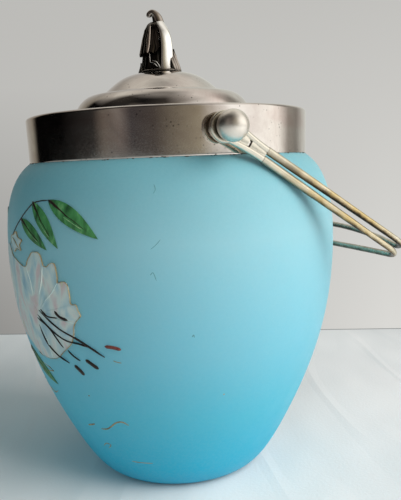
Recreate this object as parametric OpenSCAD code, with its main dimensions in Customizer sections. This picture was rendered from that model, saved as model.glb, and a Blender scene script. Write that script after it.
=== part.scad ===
// Satin glass biscuit barrel: a blown glass jar with a plated collar, a lift-off
// lid with a cast openwork finial, and a double-wire swing handle.
// The origin is the centre of the flat base, +Z is up, and the handle swings
// about a line parallel to Y. At rest it has dropped to the +X side.

/* [Glass jar] */
// Height of the finished jar, up to the top edge of the collar
jar_h = 154; // [150:1:160]
// Widest diameter of the glass
belly_d = 141.2; // [138:0.2:141.2]
// Height of the widest point
belly_z = 103; // [100:1:106]
// Diameter of the flat that the jar stands on
foot_d = 60; // [56:1:64]
// Glass thickness in the wall
glass_t = 3.6; // [3:0.2:4.4]
// Glass thickness in the base
base_t = 8; // [6:0.5:10]

/* [Collar] */
// Outer diameter of the plated collar at its lower edge
collar_d = 119.2; // [118.8:0.2:119.6]
// How far the collar spreads outward between its lower and its top edge
collar_flare = 0.5; // [0:0.1:0.8]
// Height of the collar
collar_h = 18.4; // [17.6:0.2:19]
// Sheet thickness of the collar, its ledge and the lid
sheet_t = 0.9; // [0.7:0.1:1]

/* [Lid] */
// Rise of the lid's dome above the collar
dome_rise = 18.2; // [16:0.2:20]
// How far the loosely fitting lid is pushed off centre
lid_play = 1.6; // [0:0.1:1.7]
// Height of the cast finial above the dome
finial_h = 27; // [26:0.5:28]
// Turn of the finial about the lid's axis, in degrees
finial_turn = -18.5; // [-90:0.5:90]
// Direction in which the lid is pushed off centre, in degrees from +X
play_angle = 161.5; // [0:0.5:359.5]

/* [Handle] */
// Wire diameter of the handle's arms
wire_d = 3; // [2.6:0.1:3]
// Wire diameter of the grip
grip_d = 2.4; // [2.2:0.1:2.8]
// Reach of the handle's lower wire from the pivots to the grip
handle_reach = 88.8; // [88.8:0.2:92]
// How far each arm spreads outward between its eye and its corner
splay = 2.8; // [2.4:0.2:4.4]
// Slope of the dropped handle below the horizontal, in degrees
drop_angle = 33.9; // [31:0.1:33.9]
// Distance from the handle's pivot line down from the collar's top edge
pivot_drop = 8.8; // [8:0.1:9.5]
// Diameter of the ball on each pivot screw
ball_d = 11.3; // [9.9:0.2:11.5]

/* [Hidden] */
$fn = 96;

fine = 0.05;      // gap left between fixed pieces that bed against each other
slip = 0.07;      // radial running clearance of the handle on its pivot screws

// Collar and glass neck
collar_r = collar_d / 2;
collar_z = jar_h - collar_h;
collar_in_r = collar_r - sheet_t;
collar_corner = 1.3;
mouth_r = collar_r - 2.7;
seat_drop = 4;
glass_top_z = jar_h - seat_drop;
neck_r = 55.4;
neck_z = collar_z + 4.4;
ledge_r = neck_r - glass_t;

// Lid, measured in the lid's own frame with z = 0 at the collar's top edge
lid_gap = 0.35;
flange_r = mouth_r - lid_play - lid_gap;
flange_z = 2 * sheet_t + 1.5 * fine - seat_drop;
sleeve_r = ledge_r - lid_play - lid_gap;
sleeve_h = 7;
tier_r = 38.4;
tier_z = 9.1;
dome_r = 26;
crown_r = 8.5;
stud_r = 2;
stud_drop = 8;
washer_t = 0.8;
nut_t = 3;

// Finial, in its own frame with z = 0 on the dome's flat crown. It leans to -x.
tabs = [[0, 1.35], [120, 0.75], [180, 0.7], [240, 0.75]];    // angle and height factor
leaves = [[115, 1], [180, 0.62], [245, 1]];    // angle and width factor
disc_r = 8.8;
disc_t = 1.2;
boss_h = 5;
strap_w = 5;
strap_t = 1.7;
bud_r = 2.5;
lean = -1.2;
leaf_w = 8.8;
leaf_t = 1.3;

// Handle
pivot_z = jar_h - pivot_drop;
screw_r = 2.2;
boss_face = collar_r + 2.7;
eye_face = boss_face + 0.3;
eye_t = 2.4;
eye_r = 5.8;
arm_y = eye_face + eye_t / 2;
ball_y = collar_r + 11.1;
tongue_end = 18.5;
wire_r = wire_d / 2;
wire_gap = wire_d + 0.6;
corner_r = 7;
lower_corner_w = -2.7;
lower_grip_w = -2;
upper_corner_w = 1.8;
upper_grip_w = 7.9;

// One point of a cubic curve with four control points
function cubic(a, b, c, d, t) =
    pow(1 - t, 3) * a + 3 * pow(1 - t, 2) * t * b + 3 * (1 - t) * t * t * c + pow(t, 3) * d;
// A stretch of a cubic curve in n steps, without its last point
function stretch(a, b, c, d, n) = [for (i = [0:n - 1]) cubic(a, b, c, d, i / n)];
// Unit vector
function unit(v) = v / norm(v);
// The line moved sideways by t, to the left of its direction
function beside(line, t) = let (n = len(line)) [
    for (i = [0:n - 1])
        let (d = unit(line[min(i + 1, n - 1)] - line[max(i - 1, 0)]))
        line[i] + t * [-d[1], d[0]]
];
// Outer radius of the collar at a height
function collar_out(z) = collar_r + collar_flare * (z - collar_z) / collar_h;
// Outer outline of the glass from the edge of its flat base to the shoulder
function glass_line() =
    let (
        foot = [foot_d / 2, 0],
        heel = [48.1, 20],
        heel_dir = [sin(28.2), cos(28.2)],
        belly = [belly_d / 2, belly_z],
        shoulder = [collar_r, collar_z - 0.15],
        shoulder_dir = [-sin(55.2), cos(55.2)]
    )
    concat(
        stretch(foot, foot + [6.5, 0], heel - 12 * heel_dir, heel, 10),
        stretch(heel, heel + 34 * heel_dir, belly - [0, 29], belly, 14),
        stretch(belly, belly + [0, 9], shoulder - 12.2 * shoulder_dir, shoulder, 14),
        stretch(shoulder, shoulder + 2.4 * shoulder_dir, [neck_r, neck_z - 2], [neck_r, neck_z], 4),
        [[neck_r, neck_z], [neck_r, glass_top_z]]
    );

module glass_jar() {
    outer = glass_line();
    inner = beside(outer, glass_t);
    cavity = [for (p = inner) if (p[1] > base_t + 0.5) p];
    floor_r = cavity[0][0] - 2.5;
    color("skyblue")
        difference() {
            rotate_extrude($fn = 180)
                polygon(concat([[0, 0]], outer, [[0, glass_top_z]]));
            rotate_extrude($fn = 180)
                polygon(concat([[0, base_t], [floor_r, base_t]], cavity,
                    [[ledge_r, glass_top_z + 1], [0, glass_top_z + 1]]));
        }
}

// Cement that beds the collar on the glass neck
module cement_ring() {
    bed = sheet_t + fine;
    low_z = collar_z + 1.8;
    top_z = glass_top_z - fine;
    in_r = neck_r + fine;
    color("dimgray")
        rotate_extrude()
            polygon([
                [in_r, neck_z + 0.4], [collar_out(low_z) - bed, low_z],
                [collar_out(top_z) - bed, top_z], [in_r, top_z]
            ]);
}

// Spun collar: a plain band with a bevelled lower edge and a rolled top edge
module rim_collar() {
    corner = [collar_r + collar_flare - collar_corner, jar_h - collar_corner];
    color("silver")
        rotate_extrude($fn = 180)
            polygon(concat(
                [[collar_in_r, collar_z + 0.7 * sheet_t], [collar_r, collar_z]],
                [for (a = [0:15:90]) corner + collar_corner * [cos(a), sin(a)]],
                [[mouth_r, jar_h], [mouth_r, jar_h - sheet_t]],
                [for (a = [90:-15:0]) corner + (collar_corner - sheet_t) * [cos(a), sin(a)]]
            ));
}

// Flat ring inside the collar that sits on the glass and carries the lid
module lid_ledge() {
    color("silver")
        translate([0, 0, glass_top_z + fine / 2])
            difference() {
                cylinder(h = sheet_t, r = collar_out(glass_top_z) - sheet_t - fine);
                translate([0, 0, -1])
                    cylinder(h = sheet_t + 2, r = ledge_r);
            }
}

// Places a piece that is built along +Z on the pivot line, facing out at -Y or +Y
module on_pivot(side) {
    translate([0, 0, pivot_z])
        rotate([side * -90, 0, 0])
            children();
}

// Soldered pad that the pivot screw is threaded into
module pivot_boss(side) {
    color("silver")
        difference() {
            on_pivot(side)
                rotate_extrude()
                    polygon([
                        [screw_r + fine / 2, collar_r - 3], [4.6, collar_r - 3],
                        [4.6, boss_face - 0.8], [3.8, boss_face], [screw_r + fine / 2, boss_face]
                    ]);
            translate([0, 0, collar_z])
                cylinder(h = collar_h, r1 = collar_r + fine / 2,
                    r2 = collar_r + collar_flare + fine / 2, $fn = 180);
        }
}

// Ball-headed screw: ball, waist, shoulder that keeps the handle on, and shank
module pivot_screw(side) {
    shoulder_y = eye_face + eye_t + 0.3;
    shank_y = collar_out(pivot_z + screw_r) + fine;
    ball_r = ball_d / 2;
    waist_r = 3.2;
    cut = asin(waist_r / ball_r);
    color("silver")
        on_pivot(side)
            rotate_extrude()
                polygon(concat(
                    [[0, shank_y], [screw_r, shank_y], [screw_r, shoulder_y],
                     [3.7, shoulder_y], [3.7, shoulder_y + 0.5]],
                    [for (i = [0:16])
                        let (a = -90 + cut + i * (180 - cut) / 16)
                        [i == 16 ? 0 : ball_r * cos(a), ball_y + ball_r * sin(a)]]
                ));
}

// Turns a piece from the handle's own frame to where the dropped handle lies.
// In that frame x runs along the arm from the pivot and z is square to the bail.
module dropped() {
    translate([0, 0, pivot_z])
        rotate([0, drop_angle, 0])
            children();
}

// Cast end of the handle: an eye on the pivot and a tongue for the two wires
module handle_eye(side) {
    half = wire_gap / 2 + wire_r;
    color("silver")
        difference() {
            union() {
                dropped()
                    rotate([side * -90, 0, 0])
                        rotate_extrude()
                            polygon([
                                [0, eye_face], [eye_r - 0.6, eye_face], [eye_r, eye_face + 0.6],
                                [eye_r, eye_face + eye_t - 0.6], [eye_r - 0.6, eye_face + eye_t],
                                [0, eye_face + eye_t]
                            ]);
                dropped()
                    translate([0, side * arm_y + eye_t / 2, 0])
                        rotate([90, 0, 0])
                            linear_extrude(height = eye_t)
                                polygon([
                                    [1, -eye_r + 0.4], [8, -half - 0.4], [tongue_end, -half],
                                    [tongue_end, half], [8, half + 0.4], [1, eye_r - 0.4]
                                ]);
            }
            on_pivot(side)
                translate([0, 0, eye_face - 1])
                    cylinder(h = eye_t + 2, r = screw_r + slip);
        }
}

// Height of a wire off the bail's plane: start at the tongue, then corner, then grip
function wire_offset(x, y, start_w, corner_w, grip_w) =
    let (
        along = min(1, max(0, (x - tongue_end) / (handle_reach - tongue_end))),
        across = 1 - pow(min(1, abs(y) / (arm_y + splay - corner_r)), 2)
    )
    start_w + (corner_w - start_w) * along + (grip_w - corner_w) * across;

// Centre line of one handle wire, from the near tongue round the grip to the far one
function wire_line(start_w, corner_w, grip_w, reach) =
    let (
        corner_x = reach - corner_r,
        flat_y = arm_y + splay - corner_r,
        arm_run = corner_x - tongue_end - fine,
        near = [for (i = [0:7]) [tongue_end + fine + arm_run * i / 8, -arm_y - splay * i / 8]],
        bend = [for (a = [0:15:90]) [corner_x + corner_r * sin(a), -flat_y - corner_r * cos(a)]],
        grip = [for (i = [1:19]) [reach, (i / 10 - 1) * flat_y]],
        half = concat(near, bend),
        flat = concat(half, grip, [for (i = [len(half) - 1:-1:0]) [half[i][0], -half[i][1]]])
    )
    [for (p = flat) [p[0], p[1], wire_offset(p[0], p[1], start_w, corner_w, grip_w)]];

// Solid swept along a line of points with an oval section. Each point has its
// half sizes in halves: the first across the line and the second along its ups.
module sweep(line, halves, ups, sides) {
    n = len(line);
    rings = [
        for (i = [0:n - 1])
            let (
                d = unit(line[min(i + 1, n - 1)] - line[max(i - 1, 0)]),
                across = unit(cross(d, ups[i])),
                over = cross(across, d)
            )
            [for (k = [0:sides - 1])
                let (a = 360 * k / sides)
                line[i] + halves[i][0] * cos(a) * across + halves[i][1] * sin(a) * over]
    ];
    polyhedron(
        points = [for (ring = rings) each ring],
        faces = concat(
            [[for (k = [0:sides - 1]) k]],
            [[for (k = [sides - 1:-1:0]) (n - 1) * sides + k]],
            [for (i = [0:n - 2]) for (k = [0:sides - 1])
                let (m = (k + 1) % sides)
                [i * sides + k, (i + 1) * sides + k, (i + 1) * sides + m, i * sides + m]]
        )
    );
}

// Half thickness of a wire, which thins from its arm towards the grip
function wire_half(x) =
    wire_r + (grip_d / 2 - wire_r) * min(1, max(0, (x - 2 * tongue_end) / (handle_reach - 3 * tongue_end)));

module handle_wire(start_w, corner_w, grip_w, reach) {
    line = wire_line(start_w, corner_w, grip_w, reach);
    color("tan")
        dropped()
            sweep(line, [for (p = line) wire_half(p[0]) * [1, 1]], [for (p = line) [0, 0, 1]], 12);
}

// Moves a piece from the lid's frame to where the lid lies
module on_lid() {
    translate([lid_play * cos(play_angle), lid_play * sin(play_angle), jar_h])
        children();
}

// Top line of the lid: flange, step up to the tier, then the central dome
function lid_line() =
    let (
        step = [tier_r + 1.4, flange_z],
        tier = [dome_r + 4, tier_z - 0.2],
        foot = [dome_r - 0.6, tier_z + 0.4],
        crown_edge = [crown_r, dome_rise]
    )
    concat(
        [[flange_r, flange_z]],
        stretch(step, [tier_r, flange_z], [tier_r, 0], [tier_r - 0.6, 1.6], 5),
        stretch([tier_r - 0.6, 1.6], [tier_r - 2, 5.4], [tier_r - 5, tier_z - 0.4], tier, 8),
        stretch(tier, tier + [-1.6, 0.1], foot + [1.4, -0.6], foot, 5),
        stretch(foot, [dome_r - 5, 13.2], [17.5, dome_rise - 0.6], crown_edge, 10),
        [crown_edge]
    );

module lid_cover() {
    top = lid_line();
    under = beside(top, sheet_t);
    n = len(top);
    color("silver")
        on_lid()
            rotate_extrude($fn = 180)
                polygon(concat(
                    top,
                    [[stud_r + fine, dome_rise], [stud_r + fine, dome_rise - sheet_t]],
                    [for (i = [n - 1:-1:1]) under[i]],
                    [[flange_r, flange_z - sheet_t]]
                ));
}

// Ring under the lid that drops into the neck
module lid_sleeve() {
    color("silver")
        on_lid()
            translate([0, 0, flange_z - sheet_t - fine - sleeve_h])
                difference() {
                    cylinder(h = sleeve_h, r = sleeve_r);
                    translate([0, 0, -1])
                        cylinder(h = sleeve_h + 2, r = sleeve_r - sheet_t);
                }
}

// Moves a piece from the finial's frame, with z = 0 on the dome, to its place
module on_dome() {
    on_lid()
        translate([0, 0, dome_rise + fine])
            rotate([0, 0, finial_turn])
                children();
}

// Foot of the finial: a disc with a tapped boss and leaf tabs that lean inward
module finial_base() {
    tab = [[-2.6, 0], [-3, 2.6], [-1.8, 5.4], [0, 7.4], [1.8, 5.4], [3, 2.6], [2.6, 0]];
    color("gray")
        on_dome()
            difference() {
                union() {
                    cylinder(h = disc_t, r = disc_r);
                    cylinder(h = boss_h, r = stud_r + 1.4);
                    for (t = tabs)
                        rotate([0, 0, t[0]])
                            translate([disc_r + 0.6, 0, 0])
                                rotate([0, -20, 0])
                                    rotate([90, 0, 90])
                                        translate([0, 0, -1.2])
                                            linear_extrude(height = 1.2)
                                                scale([1, t[1]])
                                                    polygon(tab);
                }
                translate([0, 0, -boss_h])
                    cylinder(h = boss_h, r = disc_r + 2);
                translate([0, 0, -1])
                    cylinder(h = boss_h + 0.4, r = stud_r + fine);
            }
}

// Broad strap that rises from a foot at the front and at the back of the finial
// and meets at the top. Its flat side faces away from the point inside.
module finial_strap() {
    inside = [0.8, 0, 12];
    foot = [3.6, -5, disc_t + fine];
    knee = [2.3, -3.3, 18.2];
    top = [-0.6, 0, finial_h - 3.4];
    half = concat(
        stretch(foot, foot + [0, -0.4, 6], knee - [-1.5, 1.8, 4.5], knee, 8),
        stretch(knee, knee + [-1, 1.2, 2.6], top - [0, 1.8, 0], top, 5)
    );
    n = len(half);
    line = concat(half, [top], [for (i = [n - 1:-1:0]) [half[i][0], -half[i][1], half[i][2]]]);
    color("silver")
        on_dome()
            sweep(line, [for (p = line) [strap_w / 2, strap_t / 2]], [for (p = line) p - inside], 12);
}

// Curled bud at the tip
module finial_bud() {
    color("silver")
        on_dome()
            translate([lean - 1, 0, finial_h - bud_r])
                sphere(r = bud_r, $fn = 48);
}

// Drooping leaves that hang from under the bud on the finial's other side
module finial_leaves() {
    top = [2.2, finial_h - 3.8];
    tip = [7.6, 8.4];
    line = concat(stretch(top, [6, finial_h - 5], [5.3, 15], tip, 10), [tip]);
    n = len(line) - 1;
    color("gray")
        on_dome()
            for (leaf = leaves)
                sweep(
                    [for (p = line) [lean + p[0] * cos(leaf[0]), p[0] * sin(leaf[0]), p[1]]],
                    [for (i = [0:n])
                        [leaf[1] * leaf_w / 2 * (0.2 + 0.76 * sin(90 * i / n)), leaf_t / 2]],
                    [for (p = line) [cos(leaf[0]), sin(leaf[0]), 0.3]], 12
                );
}

// Threaded stud that holds the finial, with its washer and nut under the dome
module finial_stud() {
    color("silver")
        on_dome()
            translate([0, 0, -stud_drop])
                cylinder(h = stud_drop + boss_h - 0.7, r = stud_r);
}

module finial_washer() {
    color("silver")
        on_dome()
            translate([0, 0, -sheet_t - 2 * fine - washer_t])
                difference() {
                    cylinder(h = washer_t, r = 5);
                    translate([0, 0, -1])
                        cylinder(h = washer_t + 2, r = stud_r + fine);
                }
}

module finial_nut() {
    color("silver")
        on_dome()
            translate([0, 0, -sheet_t - 3 * fine - washer_t - nut_t])
                difference() {
                    cylinder(h = nut_t, r = 4, $fn = 6);
                    translate([0, 0, -1])
                        cylinder(h = nut_t + 2, r = stud_r + fine);
                }
}

glass_jar();
cement_ring();
rim_collar();
lid_ledge();
pivot_boss(-1);  // pivot_boss_near
pivot_boss(1);  // pivot_boss_far
pivot_screw(-1);  // pivot_screw_near
pivot_screw(1);  // pivot_screw_far
handle_eye(-1);  // handle_eye_near
handle_eye(1);  // handle_eye_far
handle_wire(wire_gap / 2, upper_corner_w, upper_grip_w, handle_reach + 0.8);  // handle_wire_upper
handle_wire(-wire_gap / 2, lower_corner_w, lower_grip_w, handle_reach);  // handle_wire_lower
lid_cover();
lid_sleeve();
finial_base();
finial_strap();
finial_leaves();
finial_bud();
finial_stud();
finial_washer();
finial_nut();
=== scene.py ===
"""Looks of a satin glass biscuit barrel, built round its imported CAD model.

Lengths in the tables below are millimetres; mm() turns them into Blender's metres.
Every piece is made where the CAD model has it, and rides on the same body.
"""

import random
from math import asin, cos, degrees, exp, pi, radians, sin

import bmesh
import bpy
from mathutils import Matrix, Vector, noise


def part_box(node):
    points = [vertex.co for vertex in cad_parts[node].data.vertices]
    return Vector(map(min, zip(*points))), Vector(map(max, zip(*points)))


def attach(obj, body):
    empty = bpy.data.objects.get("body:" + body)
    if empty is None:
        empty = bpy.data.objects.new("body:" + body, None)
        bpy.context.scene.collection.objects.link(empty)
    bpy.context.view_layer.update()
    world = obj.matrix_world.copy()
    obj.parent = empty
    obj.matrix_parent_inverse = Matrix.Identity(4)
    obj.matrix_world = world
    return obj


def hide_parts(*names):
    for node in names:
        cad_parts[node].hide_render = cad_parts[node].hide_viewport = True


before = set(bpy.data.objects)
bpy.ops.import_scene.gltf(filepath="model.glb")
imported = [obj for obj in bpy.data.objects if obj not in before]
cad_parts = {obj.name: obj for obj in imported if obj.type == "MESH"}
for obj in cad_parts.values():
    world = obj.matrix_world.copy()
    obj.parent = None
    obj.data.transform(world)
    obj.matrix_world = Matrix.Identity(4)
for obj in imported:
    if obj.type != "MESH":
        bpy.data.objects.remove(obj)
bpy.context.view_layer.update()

MM = 0.001


def mm(*values):
    """Millimetres to metres: one number, or a vector of three."""
    if len(values) == 1:
        return values[0] * MM
    return Vector(values) * MM


def centre(node):
    """Middle of a CAD node's box, in millimetres."""
    low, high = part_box(node)
    return (low + high) / 2 / MM


def rotation(angle, axis):
    """Rotation about an axis by an angle in degrees."""
    return Matrix.Rotation(radians(angle), 4, axis)


# Sizes read from the CAD model, in millimetres
JAR_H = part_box("rim_collar")[1].z / MM
COLLAR_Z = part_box("rim_collar")[0].z / MM
COLLAR_TOP_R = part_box("rim_collar")[1].x / MM
GLASS_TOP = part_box("glass_jar")[1].z / MM
BELLY_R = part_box("glass_jar")[1].x / MM
PIVOT_Z = centre("pivot_boss_near").z
BALL_END = -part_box("pivot_screw_near")[0].y / MM
BALL_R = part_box("pivot_screw_near")[1].x / MM
EYE_FACE = -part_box("handle_eye_near")[1].y / MM
EYE_END = -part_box("handle_eye_near")[0].y / MM
ARM_Y = (EYE_FACE + EYE_END) / 2
LID_AT = centre("lid_cover")
DOME_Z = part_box("lid_cover")[1].z / MM
LID_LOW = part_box("lid_cover")[0].z / MM
FLANGE_R = (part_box("lid_cover")[1].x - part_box("lid_cover")[0].x) / 2 / MM
FINIAL_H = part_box("finial_bud")[1].z / MM - DOME_Z

# Sizes that the CAD model's source also has, in millimetres and degrees
COLLAR_FLARE = 0.5
COLLAR_R = COLLAR_TOP_R - COLLAR_FLARE
SHEET_T = 0.9
GLASS_T = 3.6
BASE_T = 8
BELLY_Z = 103
NECK_R = 55.4
SCREW_R = 2.2
EYE_R = 5.8
DROP_ANGLE = 33.9
REACH = 88.8
SPLAY = 2.8
WIRE_R = 1.5
GRIP_R = 1.2
WIRE_GAP = 3.6
TONGUE_END = 18.5
CORNER_R = 7
FINIAL_TURN = -18.5
LEAN = -1.2
HEEL_TILT = 28.2
SHOULDER_TILT = 55.2
FOLIAGE_TURNS = (120, 175, 236)

UP = Vector((0, 0, 1))
CRUMBS = 240


# ---- curves

def cubic(a, b, c, d, steps, last=False):
    """Points of a cubic curve with four control points, without the end unless last."""
    a, b, c, d = (Vector(p) for p in (a, b, c, d))
    points = []
    for i in range(steps + (1 if last else 0)):
        t = i / steps
        s = 1 - t
        points.append(s ** 3 * a + 3 * s * s * t * b + 3 * s * t * t * c + t ** 3 * d)
    return points


def smooth_path(points, steps=8):
    """A curve through all the points, with steps pieces between each two."""
    pts = [Vector(p) for p in points]
    pts = [2 * pts[0] - pts[1], *pts, 2 * pts[-1] - pts[-2]]
    out = []
    for a, b, c, d in zip(pts, pts[1:], pts[2:], pts[3:]):
        for i in range(steps):
            t = i / steps
            out.append(0.5 * (2 * b + (c - a) * t + (2 * a - 5 * b + 4 * c - d) * t * t
                              + (3 * b - a - 3 * c + d) * t ** 3))
    return out + [pts[-2]]


def shares(line):
    """For each point of a line its place along it, from 0 to 1."""
    return [i / (len(line) - 1) for i in range(len(line))]


def beside(line, distance):
    """The line in a plane moved to the left of its direction."""
    moved = []
    for i, p in enumerate(line):
        d = (line[min(i + 1, len(line) - 1)] - line[max(i - 1, 0)]).normalized()
        moved.append(p + distance * Vector((-d.y, d.x)))
    return moved


def rounded(outline, radius, steps=5):
    """A closed outline with its corners rounded by short curves."""
    pts = [Vector(p) for p in outline]
    out = []
    for i, p in enumerate(pts):
        before, after = pts[i - 1], pts[(i + 1) % len(pts)]
        reach_a = min(radius, (before - p).length * 0.45)
        reach_b = min(radius, (after - p).length * 0.45)
        start = p + (before - p).normalized() * reach_a
        end = p + (after - p).normalized() * reach_b
        out += cubic(start, start.lerp(p, 0.6), end.lerp(p, 0.6), end, steps, last=True)
    return out


def glass_line():
    """Outer outline of the glass as (radius, height), from its flat base to its rim."""
    foot = Vector((30, 0))
    heel = Vector((48.1, 20))
    heel_dir = Vector((sin(radians(HEEL_TILT)), cos(radians(HEEL_TILT))))
    belly = Vector((BELLY_R, BELLY_Z))
    shoulder = Vector((COLLAR_R, COLLAR_Z - 0.15))
    slope = Vector((-sin(radians(SHOULDER_TILT)), cos(radians(SHOULDER_TILT))))
    neck = Vector((NECK_R, COLLAR_Z + 4.4))
    return (
        cubic(foot, foot + Vector((6.5, 0)), heel - 12 * heel_dir, heel, 24)
        + cubic(heel, heel + 34 * heel_dir, belly - Vector((0, 29)), belly, 40)
        + cubic(belly, belly + Vector((0, 9)), shoulder - 12.2 * slope, shoulder, 36)
        + cubic(shoulder, shoulder + 2.4 * slope, neck - Vector((0, 2)), neck, 8)
        + [neck, Vector((NECK_R, GLASS_TOP))]
    )


GLASS = glass_line()


def glass_radius(z):
    """Outer radius of the glass at a height."""
    for low, high in zip(GLASS, GLASS[1:]):
        if low.y <= z <= high.y:
            share = (z - low.y) / max(high.y - low.y, 1e-6)
            return low.x + share * (high.x - low.x)
    return GLASS[0].x if z < GLASS[0].y else GLASS[-1].x


def on_glass(angle, z, lift):
    """Point on the jar at an angle from +X in degrees and a height, lifted off the glass."""
    step = 0.5
    slope = Vector((glass_radius(z + step) - glass_radius(z - step), 2 * step)).normalized()
    r = glass_radius(z) + lift * slope.y
    a = radians(angle)
    return mm(r * cos(a), r * sin(a), z - lift * slope.x)


# ---- meshes

def add_object(name, data):
    """New object in the scene."""
    made = bpy.data.objects.new(name, data)
    bpy.context.scene.collection.objects.link(made)
    return made


def add_mesh(name, body, shape, material, sharp=40, replaces=()):
    """Makes a smooth-shaded piece from (vertices, faces) in metres and puts it on its body."""
    vertices, faces = shape
    mesh = bpy.data.meshes.new(name)
    mesh.from_pydata([tuple(v) for v in vertices], [], faces)
    welded = bmesh.new()
    welded.from_mesh(mesh)
    bmesh.ops.remove_doubles(welded, verts=welded.verts, dist=1e-7)
    bmesh.ops.recalc_face_normals(welded, faces=welded.faces)
    welded.to_mesh(mesh)
    welded.free()
    mesh.shade_smooth()
    mesh.set_sharp_from_angle(angle=radians(sharp))
    piece = add_object(name, mesh)
    mesh.materials.append(material)
    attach(piece, body)
    if replaces:
        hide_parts(*replaces)


def revolve(profile, segments=256, place=Matrix.Identity(4), wobble=None):
    """Vertices and faces of a closed (radius, height) outline turned about Z, in metres."""
    vertices, faces = [], []
    n = len(profile)
    for k in range(segments):
        a = 2 * pi * k / segments
        for r, z in profile:
            extra = wobble(a, z) if wobble else 0
            vertices.append(place @ mm((r + extra) * cos(a), (r + extra) * sin(a), z))
    for k in range(segments):
        m = (k + 1) % segments
        for i in range(n):
            j = (i + 1) % n
            if profile[i][0] < 1e-6 and profile[j][0] < 1e-6:
                continue
            faces.append((k * n + i, m * n + i, m * n + j, k * n + j))
    return vertices, faces


def sweep(line, sections, up, sides=20, place=Matrix.Identity(4)):
    """Vertices and faces of a closed tube along a line in millimetres.

    sections gives, for each point, the half size across the line and along up.
    """
    vertices, faces = [], []
    n = len(line)
    for i, p in enumerate(line):
        d = (line[min(i + 1, n - 1)] - line[max(i - 1, 0)]).normalized()
        upward = up[i] if isinstance(up, list) else up
        across = d.cross(upward).normalized()
        over = across.cross(d)
        for k in range(sides):
            a = 2 * pi * k / sides
            q = p + sections[i][0] * cos(a) * across + sections[i][1] * sin(a) * over
            vertices.append(place @ (q * MM))
    for i in range(n - 1):
        for k in range(sides):
            m = (k + 1) % sides
            faces.append((i * sides + k, (i + 1) * sides + k, (i + 1) * sides + m, i * sides + m))
    faces.append(tuple(range(sides)))
    faces.append(tuple((n - 1) * sides + k for k in reversed(range(sides))))
    return vertices, faces


def joined(*parts):
    """Several (vertices, faces) pairs as one."""
    vertices, faces = [], []
    for part_vertices, part_faces in parts:
        start = len(vertices)
        vertices += part_vertices
        faces += [tuple(start + i for i in face) for face in part_faces]
    return vertices, faces


def blade(rows, columns, top, thickness, place=Matrix.Identity(4)):
    """A closed leaf-like sheet: top(u, v), with u and v from 0 to 1, gives one of its faces."""
    grid = [[top(i / rows, j / columns) for j in range(columns + 1)] for i in range(rows + 1)]
    vertices = [place @ (point * MM) for row in grid for point in row]
    for i in range(rows + 1):
        for j in range(columns + 1):
            du = grid[min(i + 1, rows)][j] - grid[max(i - 1, 0)][j]
            dv = grid[i][min(j + 1, columns)] - grid[i][max(j - 1, 0)]
            normal = du.cross(dv).normalized()
            vertices.append(place @ ((grid[i][j] + normal * thickness) * MM))
    half = (rows + 1) * (columns + 1)
    faces = []
    for i in range(rows):
        for j in range(columns):
            a = i * (columns + 1) + j
            b = a + columns + 1
            faces.append((a, a + 1, b + 1, b))
            faces.append((half + a, half + b, half + b + 1, half + a + 1))
    rim = list(range(columns + 1))
    rim += [i * (columns + 1) + columns for i in range(1, rows + 1)]
    rim += [rows * (columns + 1) + j for j in range(columns - 1, -1, -1)]
    rim += [i * (columns + 1) for i in range(rows - 1, 0, -1)]
    for a, b in zip(rim, rim[1:] + rim[:1]):
        faces.append((a, half + a, half + b, b))
    return vertices, faces


# ---- materials

def node(tree, kind, inputs=None, **settings):
    """Adds a ShaderNode of a kind; an input is linked if it is a socket, and set if it is a value."""
    made = tree.nodes.new("ShaderNode" + kind)
    for key, value in settings.items():
        setattr(made, key, value)
    for key, value in (inputs or {}).items():
        if isinstance(value, bpy.types.NodeSocket):
            tree.links.new(value, made.inputs[key])
        else:
            made.inputs[key].default_value = value
    return made


def ramp(tree, factor, stops):
    """Colour ramp from (position, (red, green, blue)) stops."""
    made = node(tree, "ValToRGB", {"Fac": factor})
    elements = made.color_ramp.elements
    while len(elements) < len(stops):
        elements.new(0.5)
    for element, (position, colour) in zip(elements, stops):
        element.position = position
        element.color = (*colour, 1)
    return made.outputs["Color"]


def spread(tree, value, low, high, to_low=0.0, to_high=1.0):
    """Maps a value from one range to another, clamped."""
    return node(tree, "MapRange", {
        "Value": value, "From Min": low, "From Max": high, "To Min": to_low, "To Max": to_high,
    }).outputs["Result"]


def mix(tree, factor, first, second):
    """Mixes two colours, each a socket or (red, green, blue)."""
    first, second = ((*c, 1) if isinstance(c, tuple) else c for c in (first, second))
    return node(tree, "Mix", {0: factor, 6: first, 7: second}, data_type="RGBA").outputs[2]


def calc(tree, operation, first, second=0.0):
    """One Math node on two values or sockets."""
    return node(tree, "Math", {0: first, 1: second}, operation=operation).outputs[0]


def split(tree, vector):
    """The X, Y and Z of a vector."""
    return node(tree, "SeparateXYZ", {"Vector": vector}).outputs


def cloud(tree, position, scale, detail=3.0, roughness=0.55, distortion=0.0):
    """Noise in the object's own space; scale is in features per metre."""
    return node(tree, "TexNoise", {
        "Vector": position, "Scale": scale, "Detail": detail,
        "Roughness": roughness, "Distortion": distortion,
    }).outputs["Fac"]


def stretched(tree, position, x, y, z):
    """Position scaled by axis, which draws noise out along the axes with small factors."""
    return node(tree, "VectorMath", {0: position, 1: (x, y, z)},
                operation="MULTIPLY").outputs["Vector"]


def start_material(name, **sockets):
    """New material with one Principled shader; constant values sit on its own sockets."""
    made = bpy.data.materials.new(name)
    made.use_nodes = True
    tree = made.node_tree
    tree.nodes.clear()
    shader = node(tree, "BsdfPrincipled")
    for key, value in sockets.items():
        shader.inputs[key.replace("_", " ")].default_value = value
    node(tree, "OutputMaterial", {"Surface": shader.outputs["BSDF"]})
    return made, tree, node(tree, "TexCoord").outputs["Object"]


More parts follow.
